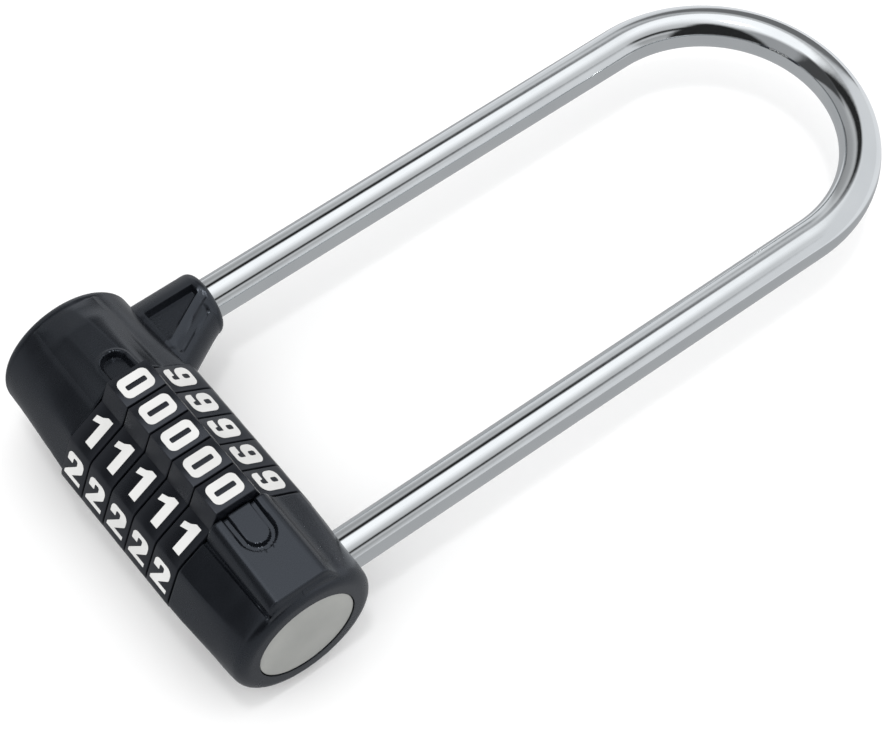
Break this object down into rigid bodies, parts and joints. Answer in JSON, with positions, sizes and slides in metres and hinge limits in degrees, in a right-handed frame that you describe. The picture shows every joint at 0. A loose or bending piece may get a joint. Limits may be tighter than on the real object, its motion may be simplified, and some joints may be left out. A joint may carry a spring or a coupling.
{
  "type": "combination padlock",
  "caption": "Long shackle combination padlock: a barrel of numbered dial rings between two end housings, with a sliding U-shaped shackle.",
  "frame": {"origin": "middle of the overall box at its underside; the lock lies on its back, the barrel axis 15.7 mm above the origin plane and 69.3 mm behind the middle", "axes": "+X along the barrel towards the pale end plate, +Y from the barrel to the bow of the shackle, +Z out of the row of zeros"},
  "size_m": [0.0732, 0.1694, 0.0344],
  "materials": {
    "black_paint": "satin black paint on die-cast metal",
    "black_dial": "satin black moulded dial rings with white numerals",
    "chrome": "bright chrome plate on steel rod",
    "pale_steel": "pale satin metal disc",
    "steel": "plain bright steel",
    "brass": "turned brass"
  },
  "bodies": {
    "body": {"left_housing": "black_paint", "right_housing": "black_paint", "core_tube": "steel", "spring_seat": "steel", "detent_strip": "steel", "left_tube_pin": "steel", "right_tube_pin": "steel", "shackle_pin": "steel", "end_plate": "pale_steel", "spindle_spring": "steel"},
    "spindle": {"spindle": "steel"},
    "shackle": {"shackle": "chrome"},
    "dial_1": {"dial_ring_1": "black_dial", "code_sleeve_1": "brass"},
    "dial_2": {"dial_ring_2": "black_dial", "code_sleeve_2": "brass"},
    "dial_3": {"dial_ring_3": "black_dial", "code_sleeve_3": "brass"},
    "dial_4": {"dial_ring_4": "black_dial", "code_sleeve_4": "brass"},
    "dial_5": {"dial_ring_5": "black_dial", "code_sleeve_5": "brass"}
  },
  "joints": [
    {"name": "shackle_pull", "type": "slide", "parent": "body", "child": "shackle", "axis": [0, 1, 0], "range_m": [0, 0.028]},
    {"name": "spindle_slide", "type": "slide", "parent": "body", "child": "spindle", "axis": [-1, 0, 0], "range_m": [0, 0.006], "stiffness_N_per_m": 120, "springref_m": -0.004, "deforming": ["spindle_spring"]},
    {"name": "dial_1_turn", "type": "hinge", "parent": "body", "child": "dial_1", "pos_m": [-0.01147, -0.06929, 0.0157], "axis": [1, 0, 0], "continuous": true},
    {"name": "dial_2_turn", "type": "hinge", "parent": "body", "child": "dial_2", "pos_m": [-0.00501, -0.06929, 0.0157], "axis": [1, 0, 0], "continuous": true},
    {"name": "dial_3_turn", "type": "hinge", "parent": "body", "child": "dial_3", "pos_m": [0.00145, -0.06929, 0.0157], "axis": [1, 0, 0], "continuous": true},
    {"name": "dial_4_turn", "type": "hinge", "parent": "body", "child": "dial_4", "pos_m": [0.00791, -0.06929, 0.0157], "axis": [1, 0, 0], "continuous": true},
    {"name": "dial_5_turn", "type": "hinge", "parent": "body", "child": "dial_5", "pos_m": [0.01437, -0.06929, 0.0157], "axis": [1, 0, 0], "continuous": true}
  ],
  "couplings": [
    {"joint": "spindle_slide", "follows": "shackle_pull", "ratio": 0.21407}
  ]
}
